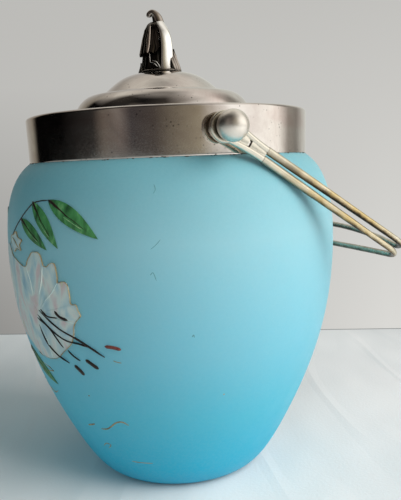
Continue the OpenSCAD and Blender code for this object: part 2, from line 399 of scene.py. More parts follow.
def connect(made, **sockets):
    """Links values made by nodes to the material's shader, and gives the material."""
    tree = made.node_tree
    for key, value in sockets.items():
        tree.links.new(value, tree.nodes["Principled BSDF"].inputs[key.replace("_", " ")])
    return made


def bump(tree, height, distance, strength, under=None):
    """Bump from a height between 0 and 1; distance in metres."""
    inputs = {"Height": height, "Distance": distance, "Strength": strength}
    if under is not None:
        inputs["Normal"] = under
    return node(tree, "Bump", inputs).outputs["Normal"]


def satin_glass():
    """Etched pale blue glass: deeper and bluer towards the thick base, partly its own colour and partly a
    painted glow of light through it; darker near the collar as painted shade.
    """
    made, tree, at = start_material(
        "satin_glass", IOR=1.45, Transmission_Weight=0.25, Subsurface_Weight=0.35,
        Subsurface_Radius=(0.4, 0.9, 1.0), Subsurface_Scale=0.006)
    uneven = spread(tree, cloud(tree, at, 14, 2), 0, 1, -0.006, 0.006)
    height = calc(tree, "ADD", split(tree, at)["Z"], uneven)
    # Height ramp: the bluest stops at the base are partly a painted glow of light through the thick glass;
    # the darker top stop under the collar is painted shade.
    colour = ramp(tree, spread(tree, height, 0, 0.15), [
        (0.03, (0.004, 0.50, 0.76)),
        (0.08, (0.004, 0.52, 0.75)),
        (0.24, (0.085, 0.57, 0.74)),
        (0.42, (0.20, 0.59, 0.72)),
        (0.70, (0.30, 0.59, 0.66)),
        (0.92, (0.17, 0.42, 0.47)),
    ])
    fine = cloud(tree, at, 900, 4, 0.7)
    colour = mix(tree, spread(tree, fine, 0.4, 0.6, 0.0, 0.05), colour, (0.5, 0.75, 0.8))
    rough = spread(tree, cloud(tree, at, 120, 4), 0.3, 0.7, 0.42, 0.55)
    frost = bump(tree, cloud(tree, at, 2600, 2), 0.00003, 0.5)
    blown = bump(tree, cloud(tree, at, 22, 1), 0.0004, 0.25, frost)
    return connect(made, Base_Color=colour, Roughness=rough, Normal=blown)


def plate(name, bright, dull, rough_low, rough_high, spun=True):
    """Worn silver plate: tarnish clouds, fine spinning marks and small pits."""
    made, tree, at = start_material(name, Metallic=1.0)
    tarnish = cloud(tree, at, 38, 6, 0.65, 0.6)
    colour = ramp(tree, tarnish, [(0.32, bright), (0.55, dull), (0.75, tuple(c * 0.72 for c in dull))])
    blush = cloud(tree, stretched(tree, at, 1, 1, 3), 26, 3)
    colour = mix(tree, spread(tree, blush, 0.52, 0.72, 0, 0.35), colour, (0.42, 0.24, 0.22))
    pits = node(tree, "TexVoronoi", {"Vector": at, "Scale": 700.0}).outputs["Distance"]
    pit_mask = spread(tree, pits, 0.10, 0.24, 1, 0)
    sparse = spread(tree, cloud(tree, at, 160, 3), 0.52, 0.64)
    pit_mask = calc(tree, "MULTIPLY", pit_mask, sparse)
    colour = mix(tree, pit_mask, colour, (0.03, 0.025, 0.02))
    lines = cloud(tree, stretched(tree, at, 0.02, 0.02, 1), 5200, 2) if spun else cloud(tree, at, 900, 2)
    grain = cloud(tree, at, 1500, 3)
    rough = spread(tree, tarnish, 0.3, 0.75, rough_low, rough_high)
    rough = calc(tree, "ADD", rough, spread(tree, grain, 0.45, 0.7, 0, 0.05))
    surface = bump(tree, lines, 0.00001, 0.15)
    surface = bump(tree, grain, 0.00001, 0.12, surface)
    surface = bump(tree, cloud(tree, at, 60, 2), 0.0002, 0.07, surface)
    return connect(made, Base_Color=colour, Roughness=rough, Normal=surface)


def worn_handle(name, black_below):
    """Handle wire: grey plate rubbed through to yellow brass, with painted shade that turns it brown, then
    black, on its underside and dark on its side towards the jar.

    black_below is the cosine from the wire's upper side past which the painted shade is black.
    """
    made, tree, at = start_material(name, Metallic=1.0)
    axes = split(tree, at)
    out = calc(tree, "ABSOLUTE", axes["X"])
    along = spread(tree, out, 0.014, 0.036)
    away = spread(tree, out, 0.060, 0.074, 1, 0)
    rubbed = calc(tree, "MULTIPLY", along, away)
    patches = spread(tree, cloud(tree, at, 150, 4, 0.6), 0.36, 0.6, 0.35, 1)
    rubbed = calc(tree, "MULTIPLY", rubbed, patches)
    grey = ramp(tree, cloud(tree, at, 110, 3), [(0.3, (0.86, 0.80, 0.66)), (0.7, (0.50, 0.47, 0.38))])
    colour = mix(tree, rubbed, grey, (0.66, 0.51, 0.25))
    streaks = cloud(tree, stretched(tree, at, 0.5, 1, 0.5), 330, 4, 0.7)
    # Painted shade: brown, then black, on the wire's underside, set by which way its surface faces; streaks
    # make the edge uneven.
    facing = node(tree, "TexCoord").outputs["Normal"]
    drop = radians(DROP_ANGLE)
    under = node(tree, "VectorMath", {0: facing, 1: (sin(drop), 0, cos(drop))},
                 operation="DOT_PRODUCT").outputs["Value"]
    under = calc(tree, "ADD", under, spread(tree, streaks, 0.3, 0.7, -0.25, 0.25))
    black = spread(tree, under, black_below - 0.30, black_below + 0.10, 1, 0)
    brown = spread(tree, under, black_below, black_below + 0.55, 0.8, 0)
    # Painted shade: dark grey-green on the wire's side that faces the jar.
    side = calc(tree, "SIGN", axes["Y"])
    inward = calc(tree, "MULTIPLY", split(tree, facing)["Y"], side)
    inward = spread(tree, inward, -0.4, 0.2, 1, 0)
    # The painted shade fades out towards the pivot ends.
    shade_fade = spread(tree, out, 0.016, 0.042, 0.3, 1)
    brown = calc(tree, "MULTIPLY", brown, shade_fade)
    black = calc(tree, "MULTIPLY", black, shade_fade)
    colour = mix(tree, brown, colour, (0.20, 0.12, 0.05))
    colour = mix(tree, black, colour, (0.04, 0.036, 0.028))
    colour = mix(tree, inward, colour, (0.075, 0.08, 0.07))
    rough = spread(tree, cloud(tree, at, 300, 4), 0.3, 0.7, 0.24, 0.40)
    surface = bump(tree, cloud(tree, stretched(tree, at, 0.4, 1, 0.4), 900, 3), 0.00002, 0.3)
    return connect(made, Base_Color=colour, Roughness=rough, Normal=surface)


def cast_metal(name, dark, middle, bright, rough_low=0.14, rough_high=0.40):
    """Cast metal: bright on raised parts and much darker in its hollows, partly oxide there and partly
    painted shade.
    """
    made, tree, at = start_material(name, Metallic=1.0)
    # Darkness from ambient occlusion: partly oxide in the hollows, partly painted shade.
    hollow = node(tree, "AmbientOcclusion", {"Distance": 0.003}, samples=8).outputs["AO"]
    oxide_and_shade = calc(tree, "ADD", hollow, spread(tree, cloud(tree, at, 500, 3), 0, 1, -0.18, 0.18))
    colour = ramp(tree, oxide_and_shade, [(0.35, dark), (0.68, middle), (0.95, bright)])
    rough = spread(tree, oxide_and_shade, 0.3, 0.9, rough_high, rough_low)
    surface = bump(tree, cloud(tree, at, 900, 3), 0.00006, 0.35)
    surface = bump(tree, cloud(tree, at, 240, 2), 0.0003, 0.22, surface)
    return connect(made, Base_Color=colour, Roughness=rough, Normal=surface)


def cement():
    """Dull, mottled old cement."""
    made, tree, at = start_material("old_cement")
    grain = cloud(tree, at, 900, 6, 0.7)
    colour = ramp(tree, grain, [(0.3, (0.012, 0.010, 0.008)), (0.7, (0.10, 0.085, 0.06))])
    rough = spread(tree, grain, 0, 1, 0.75, 0.9)
    return connect(made, Base_Color=colour, Roughness=rough, Normal=bump(tree, grain, 0.0002, 0.6))


def enamel(name, stops, scale, roughness=0.38):
    """Fired enamel paint with brushed streaks of several tints."""
    made, tree, at = start_material(name)
    streak = cloud(tree, stretched(tree, at, 1, 1, 0.45), scale, 3, 0.5, 0.8)
    grain = cloud(tree, at, scale * 9, 3)
    rough = spread(tree, grain, 0.3, 0.7, roughness - 0.08, roughness + 0.12)
    surface = bump(tree, grain, 0.00006, 0.5)
    return connect(made, Base_Color=ramp(tree, streak, stops), Roughness=rough, Normal=surface)


SATIN_GLASS = satin_glass()
SILVER = plate("silver_plate", (0.72, 0.68, 0.63), (0.56, 0.50, 0.46), 0.05, 0.12)
KNOB = cast_metal("knob_plate", (0.03, 0.025, 0.02), (0.46, 0.39, 0.33), (0.84, 0.78, 0.70), 0.36, 0.50)
EYE_PLATE = cast_metal("eye_plate", (0.05, 0.04, 0.03), (0.42, 0.37, 0.29), (0.78, 0.73, 0.62), 0.24, 0.46)
# The two wires differ only in how far round their underside the painted shade reaches.
UPPER_WIRE = worn_handle("worn_handle", -0.42)
LOWER_WIRE = worn_handle("worn_and_shaded_handle_lower", -0.75)
CAST = cast_metal("cast_finial", (0.004, 0.004, 0.003), (0.06, 0.054, 0.046), (0.36, 0.31, 0.27))
LEAF_CAST = cast_metal("cast_leaf", (0.002, 0.002, 0.002), (0.020, 0.018, 0.015), (0.10, 0.085, 0.07))
# Bright metal for the strips along the leaf ribs: a painted highlight.
RIB_HIGHLIGHT = cast_metal("cast_rib", (0.05, 0.04, 0.035), (0.40, 0.32, 0.27), (0.70, 0.60, 0.52), 0.16, 0.30)
# Near-black metal for the under-leaves beneath the foliage: painted shade.
PAINTED_SHADE_CAST = cast_metal("cast_finial_painted_shade", (0.002, 0.002, 0.002), (0.006, 0.006, 0.005),
                       (0.03, 0.026, 0.022))
POLISHED = cast_metal("cast_finial_smooth", (0.25, 0.22, 0.18), (0.70, 0.65, 0.59), (0.92, 0.89, 0.84))
CEMENT = cement()
HARDWARE = plate("plain_hardware", (0.55, 0.46, 0.28), (0.30, 0.22, 0.12), 0.3, 0.5, spun=False)
LEAF_PAINT = enamel("enamel_leaf", [
    (0.28, (0.015, 0.06, 0.02)), (0.46, (0.035, 0.15, 0.04)), (0.62, (0.06, 0.24, 0.07)),
    (0.80, (0.20, 0.40, 0.16)),
], 300)
LEAF_LIGHT = enamel("enamel_leaf_light", [(0.3, (0.12, 0.34, 0.12)), (0.7, (0.42, 0.56, 0.30))], 700)
PETAL_PAINT = enamel("enamel_petal", [
    (0.26, (0.24, 0.38, 0.46)), (0.40, (0.36, 0.50, 0.54)), (0.52, (0.56, 0.61, 0.57)),
    (0.64, (0.58, 0.44, 0.44)), (0.76, (0.44, 0.56, 0.30)),
], 120)
PALE_PAINT = enamel("enamel_pale", [(0.3, (0.50, 0.68, 0.66)), (0.7, (0.74, 0.80, 0.74))], 300)
RED_PAINT = enamel("enamel_red", [(0.3, (0.08, 0.012, 0.010)), (0.7, (0.22, 0.05, 0.035))], 700)
SCUFF = enamel("glass_scuff", [(0.3, (0.11, 0.26, 0.28)), (0.7, (0.16, 0.38, 0.42))], 500, 0.6)
LINE_PAINT = enamel("enamel_line", [(0.3, (0.006, 0.004, 0.003)), (0.7, (0.030, 0.014, 0.009))], 500)
GILT_PAINT = enamel("enamel_gilt", [(0.3, (0.20, 0.14, 0.06)), (0.7, (0.50, 0.38, 0.20))], 300)


# ---- jar, collar and lid

def make_jar():
    """Blown body, one closed skin: outside, ground rim, inside and floor."""
    inner = [p for p in beside(GLASS, GLASS_T) if p.y > BASE_T + 0.5]
    profile = [(0, 0), *GLASS, *reversed(inner), (inner[0].x - 2.5, BASE_T), (0, BASE_T)]
    add_mesh("glass_body", "root", revolve(profile), SATIN_GLASS, 50, ["glass_jar"])


def make_collar():
    """Spun band, a little wider at its rolled top edge, with faint dents."""
    round_r = 1.3
    corner = Vector((COLLAR_TOP_R - round_r, JAR_H - round_r))
    mouth = COLLAR_R - 2.7
    turn = [Vector((cos(radians(a)), sin(radians(a)))) for a in range(0, 91, 9)]
    outline = [(COLLAR_R - SHEET_T, COLLAR_Z + 0.7 * SHEET_T), (COLLAR_R - 0.2, COLLAR_Z),
               (COLLAR_R - 0.05, COLLAR_Z + 0.08), (COLLAR_R, COLLAR_Z + 0.25)]
    for z in (0.5, 0.8, 4, 8, 12):
        outline.append((COLLAR_R + COLLAR_FLARE * z / (JAR_H - COLLAR_Z), COLLAR_Z + z))
    outline += [corner + round_r * way for way in turn]
    outline += [(mouth + 0.3, JAR_H), (mouth, JAR_H - 0.3), (mouth, JAR_H - SHEET_T)]
    outline += [corner + (round_r - SHEET_T) * way for way in reversed(turn)]

    def dents(a, z):
        ring = Vector((cos(a), sin(a), z * 0.01)) * 2.2
        return -0.10 * abs(noise.noise(ring))

    band = revolve(outline, 288, wobble=dents)
    add_mesh("collar_band", "root", band, SILVER, 45, ["rim_collar"])


def make_crumbs():
    """Dark crumbs of old cement that show along the collar's lower edge."""
    rng = random.Random(7)
    parts = []
    for _ in range(CRUMBS):
        a = radians(rng.uniform(0, 360))
        size = rng.uniform(0.16, 0.42)
        z = COLLAR_Z + rng.uniform(-0.40, 0.12)
        r = COLLAR_R - rng.uniform(0.05, 0.45)
        spot = Vector((r * cos(a), r * sin(a), z))
        length = rng.uniform(1, 2.6)
        around = Vector((-sin(a), cos(a), 0))
        line = [spot + around * size * length * t for t in (-1, -0.6, 0, 0.6, 1)]
        sections = [(size * s, size * s * 0.8) for s in (0.25, 0.75, 1, 0.8, 0.2)]
        parts.append(sweep(line, sections, UP, 8))
    add_mesh("cement_crumbs", "root", joined(*parts), CEMENT, 80)


def lid_line():
    """Top outline of the lid as (radius, height above the collar)."""
    flange_z = LID_LOW + SHEET_T - JAR_H
    step = Vector((39.8, flange_z))
    tier_low = Vector((37.8, 1.6))
    tier = Vector((30, 8.9))
    foot = Vector((25.4, 9.5))
    crown = Vector((8.5, DOME_Z - JAR_H))
    return (
        [Vector((FLANGE_R, flange_z))]
        + cubic(step, (38.4, flange_z), (38.4, 0), tier_low, 10)
        + cubic(tier_low, (36.4, 5.4), (33.4, 8.7), tier, 16)
        + cubic(tier, tier + Vector((-1.6, 0.1)), foot + Vector((1.4, -0.6)), foot, 10)
        + cubic(foot, (21, 13.2), (17.5, crown.y - 0.6), crown, 20, last=True)
    )


def make_lid():
    """Spun lid with its flange, raised tier and dome."""
    top = lid_line()
    under = beside(top, SHEET_T)
    hole = 2.05
    crown = DOME_Z - JAR_H
    outline = [*top, (hole, crown), (hole, crown - SHEET_T),
               *reversed(under[1:]), (FLANGE_R, LID_LOW - JAR_H)]
    shell = revolve(outline, place=Matrix.Translation(mm(LID_AT.x, LID_AT.y, JAR_H)))
    add_mesh("lid_shell", "lid", shell, SILVER, 45, ["lid_cover"])


# ---- pivots and handle

def pivot_place(side):
    """Frame with its Z along the pivot line, outward at -Y or +Y."""
    return Matrix.Translation(mm(0, 0, PIVOT_Z)) @ rotation(side * -90, "X")


def make_screw(side, word):
    """Ball-headed pivot screw with a waist, a shoulder and its shank."""
    shoulder = EYE_END + 0.3
    ball_at = BALL_END - BALL_R
    waist = 3.2
    start = -90 + degrees(asin(waist / BALL_R))
    outline = [(0, COLLAR_R + 0.4), (SCREW_R, COLLAR_R + 0.4), (SCREW_R, shoulder),
               (3.6, shoulder + 0.05), (3.75, shoulder + 0.25), (3.6, shoulder + 0.5)]
    for i in range(33):
        a = radians(start + i * (90 - start) / 32)
        outline.append((BALL_R * cos(a), ball_at + BALL_R * sin(a)))
    screw = revolve(outline, 96, pivot_place(side))
    add_mesh(f"ball_screw_{word}", "root", screw, KNOB, 50, [f"pivot_screw_{word}"])


def handle_place():
    """Frame of the dropped handle: X along the arms from the pivot line, Y as the row's."""
    return Matrix.Translation(mm(0, 0, PIVOT_Z)) @ rotation(DROP_ANGLE, "Y")


def make_eye(side, word):
    """Cast end: a ring on the pivot, and a tongue of two bars with metal run in between them."""
    hole = SCREW_R + 0.07
    ring = rounded([(hole, EYE_FACE), (EYE_R, EYE_FACE), (EYE_R, EYE_END), (hole, EYE_END)], 0.9, 6)
    parts = [revolve(ring, 96, handle_place() @ rotation(side * -90, "X"))]
    y = side * ARM_Y
    for sign in (-1, 1):
        near = Vector((3.6, y, sign * 3.2))
        far = Vector((TONGUE_END + 0.6, y, sign * WIRE_GAP / 2))
        line = cubic(near, near + Vector((4, 0, -sign * 0.7)), far - Vector((6, 0, 0)), far, 24, last=True)
        sections = [(1.22 + 0.14 * t, 1.15 + 0.21 * t) for t in shares(line)]
        parts.append(sweep(line, sections, UP, 20, handle_place()))
    heights = ((0, 0.9), (0.12, 0.98), (0.4, 1), (0.7, 1), (0.94, 0.98), (1, 0.7))
    for start, stop, wide, narrow in ((2.6, 10.4, 3.6, 2.9), (11.5, TONGUE_END - 0.2, 2.7, 2.1)):
        line = [Vector((start + (stop - start) * t, y, 0)) for t, _ in heights]
        sections = [(0.98, full * (wide + (narrow - wide) * t)) for t, full in heights]
        parts.append(sweep(line, sections, UP, 24, handle_place()))
    add_mesh(f"eye_casting_{word}", "handle", joined(*parts), EYE_PLATE, 50,
             [f"handle_eye_{word}"])


def wire_line(start_w, corner_w, grip_w, reach):
    """Centre line of one wire in the handle's frame, from tongue to tongue."""
    corner_x = reach - CORNER_R
    flat_y = ARM_Y + SPLAY - CORNER_R
    half = []
    for i in range(24):
        t = i / 24
        half.append((TONGUE_END + (corner_x - TONGUE_END) * t, -ARM_Y - SPLAY * t))
    for step in range(0, 91, 6):
        a = radians(step)
        half.append((corner_x + CORNER_R * sin(a), -flat_y - CORNER_R * cos(a)))
    grip = [(reach, i / 20 * flat_y) for i in range(-19, 20)]
    points = []
    for x, y in half + grip + [(x, -y) for x, y in reversed(half)]:
        along = min(1, max(0, (x - TONGUE_END) / (REACH - TONGUE_END)))
        across = 1 - min(1, abs(y) / flat_y) ** 2
        points.append(Vector((x, y, start_w + (corner_w - start_w) * along + (grip_w - corner_w) * across)))
    return points


def make_wires():
    """The two bent wires of the bail, which thin towards the grip."""
    for word, start_w, corner_w, grip_w, reach, metal in (
        ("upper", WIRE_GAP / 2, 1.8, 7.9, REACH + 0.8, UPPER_WIRE),
        ("lower", -WIRE_GAP / 2, -2.7, -2, REACH, LOWER_WIRE),
    ):
        line = wire_line(start_w, corner_w, grip_w, reach)
        sections = []
        for p in line:
            share = min(1, max(0, (p.x - 2 * TONGUE_END) / (REACH - 3 * TONGUE_END)))
            worn = 1 - 0.05 * abs(noise.noise(p * 0.14))
            size = (WIRE_R + (GRIP_R - WIRE_R) * share) * worn
            sections.append((size, size))
        wire = sweep(line, sections, UP, 24, handle_place())
        add_mesh(f"wire_{word}", "handle", wire, metal, 60, [f"handle_wire_{word}"])


# ---- finial

def finial_place():
    """Frame of the finial: Z up from the dome, -X to the side it leans to."""
    return Matrix.Translation(mm(LID_AT.x, LID_AT.y, DOME_Z)) @ rotation(FINIAL_TURN, "Z")


def make_finial_base():
    """Foot disc, boss and cupped leaf tabs."""
    outline = [(0, 0.05), (8.8, 0.05), (8.8, 1.0), (7.6, 1.3), (4.2, 1.5), (3.2, 5.0), (0, 5.0)]
    disc = rounded(outline, 0.4, 4)
    parts = [revolve([(max(0, p.x), p.y) for p in disc], 96, finial_place())]
    for angle, tall in ((20, 8.0), (120, 5.4), (180, 4.6), (332, 9.6)):
        turn = rotation(angle, "Z")

        def tab(u, v, tall=tall):
            side = 2 * v - 1
            half = 3.2 * sin(pi * (0.28 + 0.68 * u)) ** 0.8
            rib = 0.35 * exp(-(side * 3.2) ** 2) - 0.22 * abs(sin(3 * pi * side))
            lean_in = 9.5 - 0.36 * tall * u ** 1.2 + 0.5 * u ** 5
            z = 0.15 + tall * u - 0.10 * tall * abs(side) * u
            return Vector((lean_in - 0.9 * side * side + rib, half * side, z))

        parts.append(blade(22, 18, tab, 0.9, finial_place() @ turn))
    add_mesh("finial_foot", "lid", joined(*parts), CAST, 40, ["finial_base"])


def make_finial_strap():
    """Broad smooth strap with a foot at the front and the back, which meets under the bud."""
    inside = Vector((0.8, 0, 12))
    foot = Vector((2.9, -5, 1.2))
    knee = Vector((2.1, -3.3, 17.4))
    top = Vector((-0.2, 0, FINIAL_H - 5.4))
    half = cubic(foot, foot + Vector((0, -0.4, 6)), knee - Vector((-1.5, 1.8, 4.5)), knee, 20)
    half += cubic(knee, knee + Vector((-1, 1.2, 2.6)), top - Vector((0, 1.8, 0)), top, 12)
    line = half + [top] + [Vector((p.x, -p.y, p.z)) for p in reversed(half)]
    sections = []
    for t in shares(line):
        low = abs(2 * t - 1)
        sections.append((2.9 + 0.15 * low ** 6 - 0.7 * (1 - low), 0.85 + 0.3 * low ** 8))
    parts = [sweep(line, sections, [p - inside for p in line], 24, finial_place())]
    # The first line is a thin rod; the other two are bright thin strands that stand for the highlight along
    # a leaf tab's top edge, a painted highlight.
    rod_and_glint_strands = [
        [(-4.1, -5.6, 9.4), (-4.4, -6.0, 7.6), (-4.4, -6.1, 6), (-4.3, -6.0, 4.2)],
        [(-4.4, -6.2, 4.0), (-2.8, -6.8, 3.6), (-1.6, -6.8, 2.4), (-1.0, -6.6, 1.2)],
        [(-3.2, -6.6, 4.6), (-1.8, -6.8, 4.2), (-0.8, -6.6, 3.0), (-0.2, -6.4, 1.6)],
    ]
    for points in rod_and_glint_strands:
        strand_line = smooth_path(points, 4)
        parts.append(sweep(strand_line, [(0.18, 0.18)] * len(strand_line), Vector((0.3, 1, 0.2)), 8, finial_place()))
    add_mesh("finial_hoop", "lid", joined(*parts), POLISHED, 50, ["finial_strap"])


def make_finial_leaves():
    """Drooping acanthus leaves with a broad rib, over shorter ones that reach the foot, coloured near black
    as painted shade; bright strips on the ribs are a painted highlight.
    """
    outer = cubic((0.8, 0, FINIAL_H - 6.0), (3.8, 0, FINIAL_H - 6.6), (4.4, 0, 15), (6.0, 0, 8.0),
                  30, last=True)
    inner = cubic((1.6, 0, 17), (3.6, 0, 15), (4.4, 0, 8), (5.4, 0, 1.0), 30, last=True)
    for name, metal, spine, angles, wide, lean, replaced in (
        ("finial_foliage", LEAF_CAST, outer, FOLIAGE_TURNS, (1, 0.7, 1), LEAN, ["finial_leaves"]),
        # The under-leaves are coloured near black as painted shade.
        ("finial_underleaves", PAINTED_SHADE_CAST, inner, (140, 195, 235, 275), (0.8, 0.9, 0.9, 0.8), LEAN - 0.6, ()),
    ):
        parts = []
        for angle, breadth in zip(angles, wide):
            turn = Matrix.Translation(mm(lean, 0, 0)) @ rotation(angle, "Z")

            def leaf(u, v, spine=spine, breadth=breadth):
                side = 2 * v - 1
                at = u * (len(spine) - 1)
                low = min(int(at), len(spine) - 2)
                p = spine[low].lerp(spine[low + 1], at - low)
                lobes = 1 + 0.06 * cos(u * pi * 9)
                half = breadth * 4.4 * (0.24 + 0.72 * sin(u * pi / 2)) * lobes
                ribs = 0.62 * exp(-(side * 2.8) ** 2) + 0.10 * cos(5 * pi * side)
                cup = 0.055 * half * half * side * side
                flare = 0.3 * max(0, u - 0.85) / 0.15
                hem = 0.8 * max(0, u - 0.7) / 0.3 * cos(1.5 * pi * side) ** 2
                return Vector((p.x - cup + ribs * (0.3 + 0.7 * u) + flare, half * side,
                               p.z - hem * spine[-1].z / 8 + 0.3 * side * side * u))

            parts.append(blade(44, 30, leaf, 0.85, finial_place() @ turn))
        add_mesh(name, "lid", joined(*parts), metal, 40, replaced)

    # Bright strips along the leaves' ribs: a painted highlight.
    ribs = []
    for angle in FOLIAGE_TURNS:
        turn = Matrix.Translation(mm(LEAN, 0, 0)) @ rotation(angle, "Z")
        line = [p + Vector((0.9 + 0.5 * i / 30, 0, 0)) for i, p in enumerate(outer)][9:]
        sections = [(0.2 + 1.1 * t * (1.25 - t ** 3), 0.5) for t in shares(line)]
        ribs.append(sweep(line, sections, Vector((1, 0, 0)), 12, finial_place() @ turn))
    add_mesh("finial_rib_highlights", "lid", joined(*ribs), RIB_HIGHLIGHT, 60)


def make_finial_bud():
    """Tip of the finial: a leaf end that curls over to the side it leans to."""
    points = [(0.8, 17.5), (0.1, 20.8), (-0.5, 23.1), (-1.4, 24.7), (-2.7, 25.5), (-3.9, 24.8), (-4.1, 23.8)]
    thick = [2.4, 2.4, 2.2, 1.8, 1.45, 1.25, 0.8]
    steps = 8
    line = smooth_path([(x, 0, z) for x, z in points], steps)
    sections = []
    for i in range(len(line)):
        at = i / steps
        low = min(int(at), len(thick) - 2)
        half = thick[low] + (thick[low + 1] - thick[low]) * (at - low)
        sections.append((half, 1.9 - 0.14 * at))
    curl = sweep(line, sections, Vector((0, 1, 0)), 24, finial_place())
    add_mesh("finial_curl", "lid", curl, CAST, 60, ["finial_bud"])


# ---- enamel painting

def stroke(points, width, lift, end_width=None):
    """A raised brush stroke through (angle, height) points, thin at both ends."""
    end_width = width if end_width is None else end_width
    line = [on_glass(p.x, p.y, lift * 0.3) / MM for p in smooth_path(points, 7)]
    sections = []
    for t in shares(line):
        full = min(1, 0.35 + 5 * t, 0.35 + 5 * (1 - t))
        sections.append(((width + (end_width - width) * t) / 2 * full, lift * full))
    up = [Vector((p.x, p.y, 0)).normalized() for p in line]
    return sweep(line, sections, up, 8)


def strokes(table):
    """All strokes of a table of (width, relief, point, point, ...) as one."""
    return joined(*[stroke(points, width, lift) for width, lift, *points in table])


def leaf_patch(base, tip, width, bow):
    """A painted leaf from base to tip, bent to one side by bow."""
    scale = radians(PAINT_R)
    run = Vector(((tip[0] - base[0]) * scale, tip[1] - base[1]))
    ahead = run.normalized()
    left = Vector((-ahead.y, ahead.x))

    def top(u, v):
        side = 2 * v - 1
        half = width / 2 * sin(pi * u ** 0.85) ** 0.9
        p = ahead * (u * run.length) + left * (side * half + bow * width * sin(pi * u))
        lift = 0.10 + 0.14 * (1 - side * side) * sin(pi * u) - 0.08 * exp(-(side * 7) ** 2)
        return on_glass(base[0] + p.x / scale, base[1] + p.y, lift) / MM

    return blade(30, 12, top, 0.12)


def flower_patch(heart, outline):
    """A closed patch of enamel inside a ragged outline, with folds that run to the heart."""
    rings = 16
    spokes = len(outline)
    vertices = [on_glass(*heart, 0.20), on_glass(*heart, 0.02)]
    for level in (0, 1):
        for i in range(1, rings + 1):
            u = i / rings
            for j, p in enumerate(outline):
                angle = heart[0] + (p.x - heart[0]) * u
                z = heart[1] + (p.y - heart[1]) * u
                fold = 0.16 * u * (1.2 - u) * (1 + sin(j * 0.75)) + 0.05 * sin(9 * u + j * 0.3)
                vertices.append(on_glass(angle, z, 0.02 if level else 0.16 + fold))
    faces = []
    for level in (0, 1):
        first = 2 + level * rings * spokes
        for j in range(spokes):
            m = (j + 1) % spokes
            faces.append((level, first + j, first + m))
            for i in range(rings - 1):
                a = first + i * spokes
                faces.append((a + j, a + spokes + j, a + spokes + m, a + m))
    top = 2 + (rings - 1) * spokes
    low = top + rings * spokes
    for j in range(spokes):
        m = (j + 1) % spokes
        faces.append((top + j, low + j, low + m, top + m))
    return vertices, faces


PAINT_R = 69    # radius of the glass where the leaves are
HEART = (-157.5, 79)
BUD_HEART = (-168.5, 105.5)

LEAVES = [      # base, tip, width, bow
    ((-163.4, 114.8), (-149, 103.8), 5.2, 0.08),
    ((-157.0, 121.2), (-144.2, 104.6), 5.8, 0.14),
    ((-148.8, 121.8), (-129.9, 108.2), 6.6, 0.12),
    ((-177, 61), (-160.5, 48), 6.4, -0.05),
    ((172, 118), (160, 106), 6.4, -0.14),
]
PETALS = [      # ragged edge of the flower, clockwise from the left
    (-186, 96), (-183, 102), (-176, 104), (-172, 100), (-166, 97.5), (-161, 97), (-158, 101),
    (-154.5, 103), (-152, 101), (-151.4, 98.5), (-149.6, 97.8), (-146.5, 99.2), (-145.4, 96.5),
    (-145.4, 92.2), (-142.5, 92.2), (-141.2, 89.5), (-141.4, 84.8), (-139.6, 84.5), (-138.5, 82),
    (-139, 79), (-141, 77), (-141.8, 73), (-144, 68.6), (-147.5, 65.5), (-151.5, 62.2),
    (-156, 60.4), (-161.5, 60.2), (-166, 61.5), (-172, 65), (-179, 68), (-184, 76), (-187, 86),
]
FOLD_TIPS = [(-161, 97), (-151.4, 98.5), (-145.4, 92.2), (-141, 77), (-156, 60.4)]
BUD = [(-173, 103.6), (-172.4, 107.6), (-169.6, 108.2), (-167.4, 109.6), (-165.6, 107.4), (-162.8, 106.6),
       (-164.6, 104.6), (-163.8, 102.6), (-167.2, 103), (-169.8, 101.6)]
LINES = [       # dark strokes: width, relief, points
    (0.5, 0.16, (-175, 104), (-169, 110), (-163.6, 114.8), (-159.6, 118.3), (-156.6, 120.6),
     (-152.4, 121.6), (-148.5, 121.8)),
    (0.75, 0.5, (-157, 80.2), (-148.5, 74.4), (-142.5, 71.6), (-137.5, 68.6), (-132, 64.6)),
    (0.6, 0.5, (-158.4, 78.2), (-152, 73), (-146.2, 69.8), (-140.5, 69), (-137.6, 68.2)),
    (0.6, 0.5, (-158.8, 77), (-153, 73.6), (-148.2, 66.4)),
    (0.5, 0.4, (-146.5, 65.7), (-144.4, 63.6), (-142, 62)),
    (0.55, 0.5, (-158.6, 74.2), (-156.5, 67.2), (-152.5, 63), (-147.4, 60.2)),
    (0.6, 0.5, (-155.8, 80.7), (-152.6, 78.4), (-147.8, 78.4)),
    (1.1, 0.6, (-148.6, 81), (-146.7, 79), (-143.5, 78)),
    (1.4, 0.45, (-139.6, 62.8), (-137.6, 61.3), (-135.3, 59.5)),
    (1.4, 0.45, (-145.2, 59.7), (-143.5, 58), (-142, 56)),
]
RED_ANTHER = [(1.3, 0.45, (-131.3, 69), (-128.6, 68.7), (-126, 68))]
GILDING = [     # a line on the bud, then the scrolls
    (0.26, 0.4, (-171, 107.4), (-168.4, 105.8), (-165.6, 103.4)),
    (0.7, 0.12, (-152, 31), (-149.5, 31.8), (-147, 32.6)),
    (0.6, 0.12, (-144.4, 30.8), (-141, 31.4), (-138, 33.2), (-135, 35.4), (-132, 36.2), (-129.5, 34.8)),
    (0.4, 0.10, (-149, 21), (-146, 23), (-143.5, 22.6), (-146, 20.5)),
    (0.35, 0.10, (-135, 15.4), (-129.5, 15.3), (-123.5, 15.5)),
    (0.3, 0.10, (-129.4, 63.4), (-128, 62.9), (-126.6, 62.6)),
    (0.5, 0.12, (170, 60), (176, 52), (-178, 46), (-170, 42), (-164, 44)),
]
